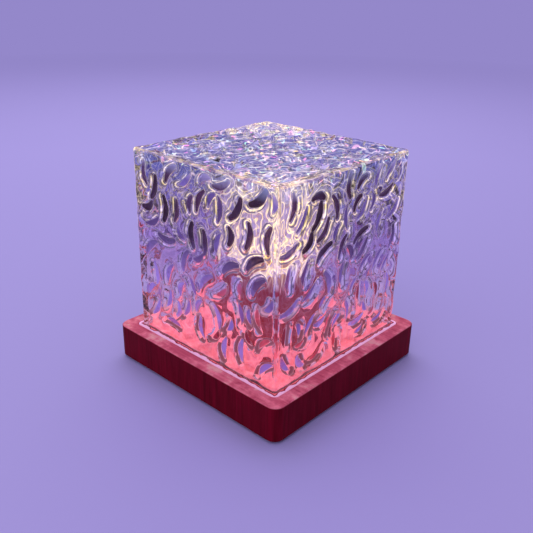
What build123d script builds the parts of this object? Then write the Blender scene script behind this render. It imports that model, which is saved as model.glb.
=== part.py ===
from build123d import *
import os
from math import acos, cos, degrees, dist, pi, radians, sin, tan
from random import Random

# Crystal cube light: a clear rippled acrylic cube stands in a groove of a square wooden base.
# LEDs below a turning rippled lens shine up a tube, whose lens throws moving water patterns into the cube.
# Millimetres, +Z up, feet on z = 0, front towards -Y, inlet and button in the rear face +Y.

# Wooden base
base_side = 110.0
base_height = 17.6
base_corner_radius = 5.0
base_edge_break = 0.5
side_wall = 9.0
top_skin = 5.0
cavity_corner_cut = 16.0

# Clear cube and the groove that it stands in
cover_side = 93.0
cover_rise = 93.0
cover_wall = 3.0
cover_edge_radius = 2.0
flange_width = 1.8
flange_corner_radius = 2.6
seat_depth = 2.8
seat_gap = 0.3

# Ripples: shallow oval scoops, thrown at random over five faces of the cube
ripple_count = 40
ripple_tries = 4000
ripple_length = 12.4
ripple_width = 5.8
ripple_depth = 1.0
ripple_border = 2.6
ripple_web = 1.3
ripple_lean = 30.0
ripple_scatter = 34.0
ripple_keel_share = 0.4
ripple_sides = 6

# Bottom plate and feet
plate_thickness = 2.0
plate_ledge = 3.0
plate_gap = 0.3
plate_corner_radius = 3.0
foot_side = 12.0
foot_inset = 8.0
foot_height = 1.0
foot_chamfer = 0.3
air_slot_count = 5
air_slot_length = 24.0
air_slot_width = 2.2
air_slot_pitch = 5.0

# Lens gear and pinion, 20 degree involute teeth
tooth_module = 1.0
lens_teeth = 48
pinion_teeth = 12
pressure_angle = radians(20)
lens_addendum = 0.7
pinion_addendum = 0.9
lens_dedendum = 1.15
pinion_dedendum = 1.0
tooth_backlash = 0.16
lens_flank_points = 2
pinion_flank_points = 3
gear_width = 2.7
gear_head_gap = 0.6
thrust_gap = 0.2
running_gap = 0.05

# Turning lens
lens_radius = 20.0
lens_rim_width = 2.0
lens_thickness = 4.2
lens_ring_counts = (1, 5, 10)
lens_ring_lean = 24.0
lens_ring_step = 6.8
lens_ripple_length = 6.4
lens_ripple_width = 3.6
light_hole_gap = 1.0

# Tube on the wood, with the projection lens in its mouth
tube_radius = 22.0
tube_wall = 2.6
tube_height = 38.6
tube_foot_width = 5.0
tube_foot_height = 1.6
front_lens_ledge = 1.0
front_lens_gap = 0.1
front_lens_edge = 1.6
front_lens_rise = 2.4
front_lens_bevel = 0.8

# Light engine frame and the LED board under it
collar_wall = 3.0
collar_play = 0.3
frame_floor = 1.1
frame_wall = 1.6
tooth_clearance = 0.8
tray_corner_cut = 5.0
led_board_rim = 4.0
led_board_thickness = 1.6
led_colours = ("red", "green", "blue", "white")
led_pitch = 7.0
led_side = 5.0
led_height = 1.6
led_bevel = 0.4
sink_side = 22.0
sink_air = 1.4
sink_web = 1.0
sink_slot_count = 5
sink_slot_width = 2.2

# Motor
motor_radius = 7.5
motor_air = 0.3
motor_shaft_radius = 0.75
motor_shaft_seat = 2.0
shaft_hole_gap = 0.4
shaft_tip = 0.3
pinion_bore_gap = 0.03
terminal_width = 6.0
terminal_depth = 2.0
terminal_cap = 0.2

# Control board and the rails that it rests on
board_width = 52.0
board_reach = 4.0
board_thickness = 1.2
board_standoff = 1.6
board_wall_gap = 0.8
rail_width = 3.0

# USB-C inlet
inlet_place = -11.0
inlet_width = 8.94
inlet_height = 3.2
inlet_length = 7.3
inlet_skin = 0.3
tongue_width = 6.7
tongue_thickness = 0.7
tongue_setback = 1.3
tongue_root = 1.5
tongue_gap = 0.05
plug_hole_width = 13.2
plug_hole_height = 7.2
plug_hole_depth = 7.2
plug_tip_gap = 0.4

# Button and push switch
button_place = 12.0
button_radius = 3.5
button_gap = 0.1
button_setback = 0.2
button_collar = 8.4
button_collar_thickness = 1.2
button_stem = 1.8
button_free_play = 0.1
button_room = 1.0
switch_width = 6.0
switch_depth = 4.0
switch_height = 3.2
plunger_radius = 1.25
plunger_gap = 0.1
plunger_reach = 2.6
plunger_hidden = 2.0
switch_travel = 0.5

# Parts on the board, in one row behind the frame
row_gap = 1.0
header_width = 6.0
header_depth = 4.0
header_height = 3.0
led_header_place = -5.0
motor_header_inset = 4.0
chip_width = 6.0
chip_depth = 4.0
chip_height = 1.5
chip_place = 3.0
chip_leg_count = 4
chip_leg_pitch = 1.27
chip_leg_width = 0.5
chip_leg_reach = 1.2
chip_bevel = 0.3
coil_side = 5.0
coil_height = 2.6
coil_place = -12.0
coil_corner_cut = 0.8
capacitor_radius = 3.1
capacitor_height = 5.4
capacitor_place = -21.0
lead_width = 3.2
lead_thickness = 0.8
lead_lift = 0.2
lead_end_gap = 1.5

# Levels
base_bottom = foot_height
base_top = base_bottom + base_height
plate_top = base_bottom + plate_thickness
cavity_top = base_top - top_skin
seat_floor = base_top - seat_depth
cover_top = base_top + cover_rise
gear_top = cavity_top - gear_head_gap
gear_bottom = gear_top - gear_width
floor_top = gear_bottom - thrust_gap
floor_bottom = floor_top - frame_floor
lens_top = gear_top + lens_thickness
tube_top = base_top + tube_height
led_board_bottom = floor_bottom - led_board_thickness
board_bottom = plate_top + board_standoff
board_top = board_bottom + board_thickness
port_level = board_top + inlet_height / 2
lead_level = board_top + lead_lift + lead_thickness / 2

# Plan sizes
half_base = base_side / 2
half_cavity = half_base - side_wall
plate_side = 2 * (half_cavity + plate_ledge)
foot_place = plate_side / 2 - foot_inset
lens_pitch_radius = tooth_module * lens_teeth / 2
pinion_pitch_radius = tooth_module * pinion_teeth / 2
motor_place = lens_pitch_radius + pinion_pitch_radius
light_hole_radius = lens_radius + light_hole_gap
collar_radius = lens_radius - lens_rim_width
collar_bore = collar_radius - collar_wall
led_board_radius = collar_bore + led_board_rim
led_board_rear = led_board_radius * cos(pi / 6)
lens_room = lens_pitch_radius + lens_addendum + tooth_clearance
pinion_room = pinion_pitch_radius + pinion_addendum + tooth_clearance
frame_rear = lens_room + frame_wall
board_rear = half_cavity - board_wall_gap
board_front = frame_rear - board_reach
board_depth = board_rear - board_front
row_front = frame_rear + row_gap
motor_header_place = board_width / 2 - motor_header_inset
button_rear = half_cavity - button_free_play - button_collar_thickness - button_stem
switch_front = button_rear - plunger_reach
standing = (Align.CENTER, Align.CENTER, Align.MIN)


def facing_rear(x, y):
    """Work plane at the inlet's and button's level that looks out of the rear face."""
    return Plane((x, y, port_level), x_dir=(-1, 0, 0), z_dir=(0, 1, 0))


def involute(angle):
    """Involute function of a pressure angle."""
    return tan(angle) - angle


def gear_face(teeth, addendum, dedendum, flank_points):
    """Face of a spur gear with a tooth along +X, each flank a few points of its involute."""
    pitch_radius = tooth_module * teeth / 2
    base_radius = pitch_radius * cos(pressure_angle)
    half_tooth = (pi * tooth_module / 2 - tooth_backlash) / (2 * pitch_radius)
    flank = []
    for step in range(flank_points):
        radius = pitch_radius - dedendum + (addendum + dedendum) * step / (flank_points - 1)
        slope = acos(min(1, base_radius / radius))
        flank.append((radius, half_tooth + involute(pressure_angle) - involute(slope)))
    corners = []
    for tooth in range(teeth):
        axis = 2 * pi * tooth / teeth
        turns = [(radius, axis - half) for radius, half in flank]
        turns += [(radius, axis + half) for radius, half in reversed(flank)]
        corners += [(radius * cos(turn), radius * sin(turn)) for radius, turn in turns]
    with BuildSketch() as gear:
        Polygon(*corners, align=None)
    return gear.sketch


def ripple_cutter(length, width, depth):
    """Scoop for one ripple, along X with the cut surface at z = 0: oval mouth, level keel below it."""
    turns = [2 * pi * side / ripple_sides for side in range(ripple_sides)]
    mouth = [(length / 2 * cos(turn), width / 2 * sin(turn), 0) for turn in turns]
    keel = [(end * ripple_keel_share * length / 2, 0, -depth) for end in (-1, 1)]
    return ConvexPolyhedron(mouth + keel, mode=Mode.PRIVATE)


def ripple_spots(face_number):
    """Places of the ripples on one cube face: each throw stays if it clears the border and earlier ones."""
    throw = Random(face_number)
    reach = (cover_side - ripple_width) / 2 - ripple_border
    run = (ripple_length - ripple_width) / 2
    spots = []
    taken = []
    for _ in range(ripple_tries):
        x = throw.uniform(-reach, reach)
        y = throw.uniform(-reach, reach)
        lean = radians(throw.gauss(ripple_lean, ripple_scatter))
        beads = [(x + sin(lean) * run * step / 2, y + cos(lean) * run * step / 2) for step in range(-2, 3)]
        inside = max(abs(place) for bead in beads for place in bead) <= reach
        apart = min((dist(bead, other) for bead in beads for other in taken), default=cover_side)
        if inside and apart > ripple_width + ripple_web:
            taken += beads
            spots.append(Pos(x, y) * Rot(Z=90 - degrees(lean)))
        if len(spots) == ripple_count:
            break
    return spots


def ribbon(points, width, height=0):
    """Outline of a flat lead along the points, its two sides moved apart by the width and height."""
    near = [(x - width / 2, y - height / 2) for x, y in points]
    far = [(x + width / 2, y + height / 2) for x, y in reversed(points)]
    return Polygon(*near, *far, align=None)


# Wooden base: groove for the cube above, eight-sided cavity routed from below, ports in the rear wall
with BuildPart() as wood_base:
    with BuildSketch(Plane.XY.offset(base_bottom)):
        RectangleRounded(base_side, base_side, base_corner_radius)
    extrude(amount=base_height)
    chamfer(wood_base.edges().group_by(Axis.Z)[-1], base_edge_break)
    chamfer(wood_base.edges().group_by(Axis.Z)[0], base_edge_break)
    groove_outside = cover_side + 2 * (flange_width + seat_gap)
    groove_inside = cover_side - 2 * (cover_wall + seat_gap)
    with BuildSketch(Plane.XY.offset(seat_floor)):
        RectangleRounded(groove_outside, groove_outside, flange_corner_radius + seat_gap)
        Rectangle(groove_inside, groove_inside, mode=Mode.SUBTRACT)
    extrude(amount=seat_depth, mode=Mode.SUBTRACT)
    with BuildSketch(Plane.XY.offset(plate_top)) as cavity:
        Rectangle(2 * half_cavity, 2 * half_cavity)
        chamfer(cavity.vertices(), cavity_corner_cut)
    extrude(amount=cavity_top - plate_top, mode=Mode.SUBTRACT)
    rebate_side = plate_side + 2 * plate_gap
    with BuildSketch(Plane.XY.offset(base_bottom)):
        RectangleRounded(rebate_side, rebate_side, plate_corner_radius + plate_gap)
    extrude(amount=plate_thickness, mode=Mode.SUBTRACT)
    with BuildSketch(Plane.XY.offset(cavity_top)):
        Circle(light_hole_radius)
    extrude(amount=top_skin, mode=Mode.SUBTRACT)
    with BuildSketch(facing_rear(inlet_place, half_base)):
        SlotOverall(plug_hole_width, plug_hole_height)
    extrude(amount=-plug_hole_depth, mode=Mode.SUBTRACT)
    with BuildSketch(facing_rear(inlet_place, half_base)):
        SlotOverall(inlet_width + 2 * plug_tip_gap, inlet_height + 2 * plug_tip_gap)
        with Locations((inlet_place - button_place, 0)):
            Circle(button_radius + button_gap)
    extrude(amount=-side_wall, mode=Mode.SUBTRACT)

# Clear cube: open below, smooth inside, rippled outside, with a foot flange in the groove
with BuildPart() as crystal_cover:
    with BuildSketch(Plane.XY.offset(base_top)):
        Rectangle(cover_side, cover_side)
    extrude(amount=cover_rise)
    uprights = crystal_cover.edges().filter_by(Axis.Z)
    top_edges = crystal_cover.edges().group_by(Axis.Z)[-1]
    fillet(uprights + top_edges, cover_edge_radius)
    flange_side = cover_side + 2 * flange_width
    with BuildSketch(Plane.XY.offset(seat_floor)):
        RectangleRounded(flange_side, flange_side, flange_corner_radius)
    extrude(amount=seat_depth)
    cover_inside = cover_side - 2 * cover_wall
    with BuildSketch(Plane.XY.offset(seat_floor)):
        Rectangle(cover_inside, cover_inside)
    extrude(amount=cover_top - cover_wall - seat_floor, mode=Mode.SUBTRACT)
    face_middle = base_top + cover_rise / 2
    front_face = Plane((0, -cover_side / 2, face_middle), x_dir=(1, 0, 0), z_dir=(0, -1, 0))
    cube_faces = [Rot(Z=90 * quarter) * front_face.location for quarter in range(4)]
    cube_faces.append(Plane.XY.offset(cover_top).location)
    scoop = ripple_cutter(ripple_length, ripple_width, ripple_depth)
    for number, face in enumerate(cube_faces):
        add([face * spot * scoop for spot in ripple_spots(number)], mode=Mode.SUBTRACT)

# Bottom plate: rails for the board above, air slots under the heat sink
with BuildPart() as bottom_plate:
    with BuildSketch(Plane.XY.offset(base_bottom)):
        RectangleRounded(plate_side, plate_side, plate_corner_radius)
        with GridLocations(air_slot_pitch, 0, air_slot_count, 1):
            Rectangle(air_slot_width, air_slot_length, mode=Mode.SUBTRACT)
    extrude(amount=plate_thickness)
    with BuildSketch(Plane.XY.offset(plate_top)):
        with Locations((0, board_front + board_depth / 2)):
            with GridLocations(board_width - rail_width, 0, 2, 1):
                Rectangle(rail_width, board_depth)
    extrude(amount=board_standoff)

# Four square rubber feet
feet = {}
for row, y in (("front", -foot_place), ("rear", foot_place)):
    for end, x in (("left", -foot_place), ("right", foot_place)):
        with BuildPart() as foot:
            with Locations((x, y, 0)):
                Box(foot_side, foot_side, foot_height, align=standing)
            chamfer(foot.edges().group_by(Axis.Z)[0], foot_chamfer)
        feet[f"foot_{row}_{end}"] = foot

# Light engine frame: tray round the two gears, with the collar that the lens gear turns on
with BuildPart() as engine_frame:
    tray_length = lens_room + motor_place + pinion_room
    tray_middle = (motor_place + pinion_room - lens_room) / 2
    with BuildSketch(Plane.XY.offset(floor_bottom)) as tray:
        with Locations((tray_middle, 0)):
            Rectangle(tray_length + 2 * frame_wall, 2 * frame_rear)
        chamfer(tray.vertices(), tray_corner_cut)
    extrude(amount=cavity_top - floor_bottom)
    with BuildSketch(Plane.XY.offset(floor_top)) as tray_inside:
        with Locations((tray_middle, 0)):
            Rectangle(tray_length, 2 * lens_room)
        chamfer(tray_inside.vertices(), tray_corner_cut - frame_wall / 2)
    extrude(amount=cavity_top - floor_top, mode=Mode.SUBTRACT)
    with BuildSketch(Plane.XY.offset(floor_top)):
        Circle(collar_radius)
    extrude(amount=gear_top - collar_play - floor_top)
    with BuildSketch(Plane.XY.offset(floor_bottom)):
        Circle(collar_bore)
        with Locations((motor_place, 0)):
            Circle(motor_shaft_radius + shaft_hole_gap)
    extrude(amount=gear_top - floor_bottom, mode=Mode.SUBTRACT)

# Lens gear: toothed ring that turns on the collar
with BuildPart() as lens_gear:
    with BuildSketch(Plane.XY.offset(gear_bottom)):
        add(gear_face(lens_teeth, lens_addendum, lens_dedendum, lens_flank_points))
        Circle(collar_radius + running_gap, mode=Mode.SUBTRACT)
    extrude(amount=gear_width)

# Rippled lens: a thick disc bonded on the gear, with rings of scoops on its upper face
with BuildPart() as ripple_lens:
    with BuildSketch(Plane.XY.offset(gear_top)):
        Circle(lens_radius)
    extrude(amount=lens_thickness)
    lens_face = Plane.XY.offset(lens_top).location
    lens_scoop = ripple_cutter(lens_ripple_length, lens_ripple_width, ripple_depth)
    lens_spots = [
        Rot(Z=360 * number / count) * Pos(lens_ring_step * ring, 0) * Rot(Z=90 - lens_ring_lean * ring)
        for ring, count in enumerate(lens_ring_counts)
        for number in range(count)
    ]
    add([lens_face * spot * lens_scoop for spot in lens_spots], mode=Mode.SUBTRACT)

# Dark tube over the edge of the turning lens: foot flange on the wood, ledge for the lens in its mouth
tube_bore = tube_radius - tube_wall
seat_radius = tube_bore + front_lens_ledge
lens_seat = tube_top - front_lens_edge
with BuildPart() as light_tube:
    with BuildSketch(Plane.XY.offset(base_top)):
        Circle(tube_radius + tube_foot_width)
    extrude(amount=tube_foot_height)
    with BuildSketch(Plane.XY.offset(base_top)):
        Circle(tube_radius)
    extrude(amount=tube_height)
    with BuildSketch(Plane.XY.offset(base_top)):
        Circle(tube_bore)
    extrude(amount=tube_height, mode=Mode.SUBTRACT)
    with BuildSketch(Plane.XY.offset(lens_seat)):
        Circle(seat_radius)
    extrude(amount=front_lens_edge, mode=Mode.SUBTRACT)

# Projection lens: thick disc with a bevelled rim, bonded in the tube's mouth
with BuildPart() as projection_lens:
    with BuildSketch(Plane.XY.offset(lens_seat)):
        Circle(seat_radius - front_lens_gap)
    extrude(amount=front_lens_edge + front_lens_rise)
    chamfer(projection_lens.edges().group_by(Axis.Z)[-1], front_lens_bevel)

# Six-sided LED board with four emitters
with BuildPart() as led_board:
    with BuildSketch(Plane.XY.offset(led_board_bottom)):
        RegularPolygon(led_board_radius, 6)
    extrude(amount=led_board_thickness)

leds = {}
led_spots = [(x * led_pitch / 2, y * led_pitch / 2) for x in (-1, 1) for y in (-1, 1)]
for colour, (x, y) in zip(led_colours, led_spots):
    with BuildPart() as led:
        with Locations((x, y, floor_bottom)):
            Box(led_side, led_side, led_height, align=standing)
        chamfer(led.edges().group_by(Axis.Z)[-1], led_bevel)
    leds[f"led_{colour}"] = led

# Heat sink: fins hang from a web that is bonded under the LED board
with BuildPart() as heat_sink:
    sink_bottom = plate_top + sink_air
    with Locations((0, 0, sink_bottom)):
        Box(sink_side, sink_side, led_board_bottom - sink_bottom, align=standing)
    with BuildSketch(Plane.XY.offset(sink_bottom)):
        with GridLocations(sink_side / (sink_slot_count + 0.5), 0, sink_slot_count, 1):
            Rectangle(sink_slot_width, sink_side)
    extrude(amount=led_board_bottom - sink_web - sink_bottom, mode=Mode.SUBTRACT)

# Flat motor under the frame's floor: can with the shaft bore, terminal block at its rear side
with BuildPart() as motor_can:
    motor_bottom = plate_top + motor_air
    terminal_top = lead_level + lead_thickness / 2 + terminal_cap
    with Locations((motor_place, 0, motor_bottom)):
        Cylinder(motor_radius, floor_bottom - motor_bottom, align=standing)
    with Locations((motor_place, motor_radius, motor_bottom)):
        Box(terminal_width, terminal_depth, terminal_top - motor_bottom, align=standing)
    with BuildSketch(Plane.XY.offset(floor_bottom)):
        with Locations((motor_place, 0)):
            Circle(motor_shaft_radius + running_gap)
    extrude(amount=-motor_shaft_seat - thrust_gap, mode=Mode.SUBTRACT)

with BuildPart() as motor_shaft:
    shaft_bottom = floor_bottom - motor_shaft_seat
    with Locations((motor_place, 0, shaft_bottom)):
        Cylinder(motor_shaft_radius, gear_top + shaft_tip - shaft_bottom, align=standing)

with BuildPart() as pinion_gear:
    with BuildSketch(Plane.XY.offset(gear_bottom)):
        with Locations(Location((motor_place, 0, 0), (0, 0, 180 + 180 / pinion_teeth))):
            add(gear_face(pinion_teeth, pinion_addendum, pinion_dedendum, pinion_flank_points))
            Circle(motor_shaft_radius + pinion_bore_gap, mode=Mode.SUBTRACT)
    extrude(amount=gear_width)

# Control board, notched round the inner end of the button
with BuildPart() as control_board:
    with BuildSketch(Plane.XY.offset(board_bottom)):
        with Locations((0, board_front)):
            Rectangle(board_width, board_depth, align=(Align.CENTER, Align.MIN))
        with Locations((button_place, button_rear - button_room)):
            Rectangle(button_collar + 2 * button_room, board_depth,
                      align=(Align.CENTER, Align.MIN), mode=Mode.SUBTRACT)
    extrude(amount=board_thickness)

# USB-C inlet: drawn shell with its mouth at the cavity wall, moulded tongue inside
inlet_mouth = facing_rear(inlet_place, half_cavity)
inner_width = inlet_width - 2 * inlet_skin
inner_height = inlet_height - 2 * inlet_skin
with BuildPart() as usb_shell:
    with BuildSketch(inlet_mouth):
        SlotOverall(inlet_width, inlet_height)
        SlotOverall(inner_width, inner_height, mode=Mode.SUBTRACT)
    extrude(amount=-inlet_length)

with BuildPart() as usb_tongue:
    with BuildSketch(inlet_mouth.offset(-inlet_length)):
        Rectangle(inner_width - inner_height, inner_height - 2 * tongue_gap)
    extrude(amount=tongue_root)
    with BuildSketch(inlet_mouth.offset(-inlet_length)):
        Rectangle(tongue_width, tongue_thickness)
    extrude(amount=inlet_length - tongue_setback)

# Push switch with its plunger, and the button that reaches it through the rear wall
with BuildPart() as switch_body:
    with Locations((button_place, switch_front, board_top)):
        Box(switch_width, switch_depth, switch_height, align=(Align.CENTER, Align.MAX, Align.MIN))
    with BuildSketch(facing_rear(button_place, switch_front)):
        Circle(plunger_radius + plunger_gap)
    extrude(amount=-plunger_hidden - 2 * switch_travel, mode=Mode.SUBTRACT)

with BuildPart() as switch_plunger:
    with BuildSketch(facing_rear(button_place, button_rear)):
        Circle(plunger_radius)
    extrude(amount=-plunger_reach - plunger_hidden)

with BuildPart() as power_button:
    with BuildSketch(facing_rear(button_place, button_rear)):
        Circle(button_radius)
    extrude(amount=half_base - button_setback - button_rear)
    with BuildSketch(facing_rear(button_place, button_rear + button_stem)):
        Rectangle(button_collar, button_collar)
    extrude(amount=button_collar_thickness)

# Plug headers, with their mouths towards the frame
headers = {}
for name, x in (("led_header", led_header_place), ("motor_header", motor_header_place)):
    with BuildPart() as header:
        with Locations((x, row_front, board_top)):
            Box(header_width, header_depth, header_height, align=(Align.CENTER, Align.MIN, Align.MIN))
        chamfer(header.edges().group_by(Axis.Z)[-1], chip_bevel)
    headers[name] = header

# Driver chip with its legs, choke coil and capacitor
with BuildPart() as driver_chip:
    chip_middle = row_front + chip_leg_reach + chip_depth / 2
    with Locations((chip_place, chip_middle, board_top)):
        Box(chip_width, chip_depth, chip_height, align=standing)
    chamfer(driver_chip.edges().group_by(Axis.Z)[-1], chip_bevel)
    with Locations((chip_place, chip_middle, board_top)):
        with GridLocations(chip_leg_pitch, chip_depth + chip_leg_reach, chip_leg_count, 2):
            Box(chip_leg_width, chip_leg_reach, chip_leg_width, align=standing)

with BuildPart() as choke_coil:
    with Locations((coil_place, row_front + coil_side / 2, board_top)):
        Box(coil_side, coil_side, coil_height, align=standing)
    chamfer(choke_coil.edges().filter_by(Axis.Z), coil_corner_cut)

with BuildPart() as smoothing_capacitor:
    with Locations((capacitor_place, row_front + capacitor_radius, board_top)):
        Cylinder(capacitor_radius, capacitor_height, align=standing)

# Flat leads: one bends up from its header to the LED board, one jogs sideways to the motor's terminals
with BuildPart() as led_lead:
    pad_level = led_board_bottom - lead_thickness / 2
    pad_end = sink_side / 2 + lead_end_gap
    with BuildSketch(Plane((led_header_place, 0, 0), x_dir=(0, 1, 0), z_dir=(1, 0, 0))):
        ribbon(
            [(row_front, lead_level), (board_front, lead_level), (led_board_rear, pad_level),
             (pad_end, pad_level)],
            0, lead_thickness,
        )
    extrude(amount=lead_width / 2, both=True)

with BuildPart() as motor_lead:
    terminal_face = motor_radius + terminal_depth / 2
    jog_end = (board_front + terminal_face) / 2
    with BuildSketch(Plane.XY.offset(lead_level)):
        ribbon(
            [(motor_header_place, row_front), (motor_header_place, board_front), (motor_place, jog_end),
             (motor_place, terminal_face)],
            lead_width,
        )
    extrude(amount=lead_thickness / 2, both=True)

pieces = {
    "wood_base": wood_base,
    "crystal_cover": crystal_cover,
    "bottom_plate": bottom_plate,
    **feet,
    "engine_frame": engine_frame,
    "lens_gear": lens_gear,
    "ripple_lens": ripple_lens,
    "light_tube": light_tube,
    "projection_lens": projection_lens,
    "led_board": led_board,
    **leds,
    "heat_sink": heat_sink,
    "motor_can": motor_can,
    "motor_shaft": motor_shaft,
    "pinion_gear": pinion_gear,
    "control_board": control_board,
    "usb_shell": usb_shell,
    "usb_tongue": usb_tongue,
    "switch_body": switch_body,
    "switch_plunger": switch_plunger,
    "power_button": power_button,
    **headers,
    "driver_chip": driver_chip,
    "choke_coil": choke_coil,
    "smoothing_capacitor": smoothing_capacitor,
    "led_lead": led_lead,
    "motor_lead": motor_lead,
}
os.makedirs("parts", exist_ok=True)
for name, piece in pieces.items():
    piece.part.label = name
    export_step(piece.part, f"parts/{name}.step")
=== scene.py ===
from math import cos, dist, radians, sin, sqrt
from random import Random

import bmesh
import bpy
from mathutils import Matrix, Vector


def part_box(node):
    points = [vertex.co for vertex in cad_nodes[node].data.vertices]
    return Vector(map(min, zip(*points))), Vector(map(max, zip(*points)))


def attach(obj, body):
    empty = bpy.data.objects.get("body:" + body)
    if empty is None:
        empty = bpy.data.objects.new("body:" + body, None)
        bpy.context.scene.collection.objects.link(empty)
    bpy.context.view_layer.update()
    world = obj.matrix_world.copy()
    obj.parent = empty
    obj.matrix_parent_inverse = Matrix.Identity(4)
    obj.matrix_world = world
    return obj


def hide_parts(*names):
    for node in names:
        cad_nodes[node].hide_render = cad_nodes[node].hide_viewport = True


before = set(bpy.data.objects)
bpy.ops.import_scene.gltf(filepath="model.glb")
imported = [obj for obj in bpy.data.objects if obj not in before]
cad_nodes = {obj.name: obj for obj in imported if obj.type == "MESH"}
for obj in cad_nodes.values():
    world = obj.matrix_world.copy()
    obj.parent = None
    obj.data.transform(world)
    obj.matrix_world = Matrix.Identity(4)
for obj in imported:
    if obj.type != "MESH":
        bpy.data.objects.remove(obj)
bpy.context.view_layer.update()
mm = 0.001


# Wooden base: a square board of solid hardwood with rounded corners and a groove for the cube, routed
# hollow from below, stained dark red and oiled. The cube's light warming its top to coral is painted into
# the top's colour, while its sides stay dark.
def linear(code):
    """Linear colour of an sRGB hex code."""
    shares = [int(code[start:start + 2], 16) / 255 for start in (1, 3, 5)]
    levels = [share / 12.92 if share <= 0.04045 else ((share + 0.055) / 1.055) ** 2.4 for share in shares]
    return (*levels, 1.0)


def node(tree, kind, inputs=None, stops=None, **settings):
    """Adds a node with its settings and colour stops, and sets or links its inputs by name or number."""
    made = tree.nodes.new(kind)
    for name, value in settings.items():
        setattr(made, name, value)
    for name, value in (inputs or {}).items():
        socket = made.inputs[name] if isinstance(name, int) else next(
            way for way in made.inputs if way.enabled and way.name == name)
        if isinstance(value, bpy.types.Node):
            value = next(way for way in value.outputs if way.enabled)
        if isinstance(value, bpy.types.NodeSocket):
            tree.links.new(value, socket)
        else:
            socket.default_value = value
    for number, (position, colour) in enumerate(stops or ()):
        elements = made.color_ramp.elements
        element = elements[number] if number < 2 else elements.new(position)
        element.position = position
        element.color = linear(colour) if isinstance(colour, str) else (colour, colour, colour, 1.0)
    return made


def start_material(name):
    """A new material with an empty node tree."""
    made = bpy.data.materials.new(name)
    made.use_nodes = True
    made.node_tree.nodes.clear()
    return made, made.node_tree


def give(material, *names):
    """Puts one material on the CAD nodes of these names."""
    for name in names:
        cad_nodes[name].data.materials.clear()
        cad_nodes[name].data.materials.append(material)


def out_from_axis(tree, place):
    """How far out a place lies from the upright axis, as half the side of the square through it."""
    spot = node(tree, "ShaderNodeSeparateXYZ", {"Vector": place}).outputs
    across_x = node(tree, "ShaderNodeMath", {0: spot["X"]}, operation="ABSOLUTE")
    across_y = node(tree, "ShaderNodeMath", {0: spot["Y"]}, operation="ABSOLUTE")
    return node(tree, "ShaderNodeMath", {0: across_x, 1: across_y}, operation="MAXIMUM")


base_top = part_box("wood_base")[1].z
top_edge = 0.5 * mm
grain_length = 26 * mm
grain_width = 1.6 * mm
pore_length = 6 * mm
pore_width = 0.5 * mm
pore_depth = 0.15 * mm
pore_strength = 0.18
dapple_size = 9 * mm
dapple_share = 0.55
swirl_size = 8 * mm
swirl_dim = 0.50
swirl_bright = 1.02
lit_half = 42 * mm
unlit_half = 47 * mm

# Oiled stained hardwood: dark sides with faint upright streaks and a top painted coral as the lamp lights it,
# with long grain along X, painted dappled caustics and, under the cube, a painted swirled glow of warm light;
# fine pores and a low satin sheen.
stained_wood, tree = start_material("oiled stained hardwood")
place = node(tree, "ShaderNodeTexCoord").outputs["Object"]
height = node(tree, "ShaderNodeSeparateXYZ", {"Vector": place}).outputs["Z"]
streak_sizes = (
    (grain_length, grain_width, grain_width), (grain_width, grain_width, grain_length),
    (pore_length, pore_width, pore_width), (dapple_size, dapple_size, dapple_size))
streaks = []
for along_x, along_y, along_z in streak_sizes:
    drawn_out = node(tree, "ShaderNodeMapping", {
        "Vector": place, "Scale": (1 / along_x, 1 / along_y, 1 / along_z)})
    streaks.append(node(tree, "ShaderNodeTexNoise", {
        "Vector": drawn_out, "Scale": 1.0, "Detail": 4.0, "Roughness": 0.6}))
long_grain, upright_grain, pores, dapples = streaks
side_colour = node(tree, "ShaderNodeValToRGB", {"Fac": upright_grain}, [
    (0.30, "#580212"), (0.72, "#7A0520")])
# The top's coral grain is a painted lit copy of the dark stain, lit by the lamp.
painted_lit_grain = node(tree, "ShaderNodeValToRGB", {"Fac": long_grain}, [
    (0.30, "#BC4260"), (0.70, "#FF84A0")])
# Painted caustics: dappled spots of the lamp's light on the top, coral to cream.
painted_caustic_dapples = node(tree, "ShaderNodeValToRGB", {"Fac": dapples}, [
    (0.42, "#B8465E"), (0.55, "#F08496"), (0.66, "#FFCCC4")])
painted_lit_top = node(tree, "ShaderNodeMix", {
    "Factor": dapple_share, "A": painted_lit_grain, "B": painted_caustic_dapples}, data_type="RGBA")
on_top = node(tree, "ShaderNodeMapRange", {
    "Value": height, "From Min": base_top - top_edge, "From Max": base_top - top_edge / 2})
wood_and_painted_light = node(tree, "ShaderNodeMix", {
    "Factor": on_top, "A": side_colour, "B": painted_lit_top}, data_type="RGBA")
# Painted glow: the top under the cube gives off a swirled warm light of the lamp as emission.
under_cube = node(tree, "ShaderNodeMapRange", {
    "Value": out_from_axis(tree, place), "From Min": unlit_half, "From Max": lit_half})
lit_top = node(tree, "ShaderNodeMath", {0: under_cube, 1: on_top}, operation="MULTIPLY")
swirls = node(tree, "ShaderNodeTexNoise", {
    "Vector": place, "Scale": 1 / swirl_size, "Detail": 2.0, "Distortion": 1.5})
swirl_light = node(tree, "ShaderNodeMapRange", {
    "Value": swirls, "From Min": 0.35, "From Max": 0.65, "To Min": swirl_dim, "To Max": swirl_bright})
warm_light = node(tree, "ShaderNodeMath", {0: lit_top, 1: swirl_light}, operation="MULTIPLY")
pore_bump = node(tree, "ShaderNodeBump", {
    "Strength": pore_strength, "Distance": pore_depth, "Height": pores})
wood_roughness = node(tree, "ShaderNodeMapRange", {"Value": long_grain, "To Min": 0.48, "To Max": 0.62})
oiled = node(tree, "ShaderNodeBsdfPrincipled", {
    "Base Color": wood_and_painted_light, "Roughness": wood_roughness, "Normal": pore_bump,
    "Specular IOR Level": 0.05, "Emission Color": linear("#FF7C86"), "Emission Strength": warm_light})
node(tree, "ShaderNodeOutputMaterial", {"Surface": oiled})
give(stained_wood, "wood_base")


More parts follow.
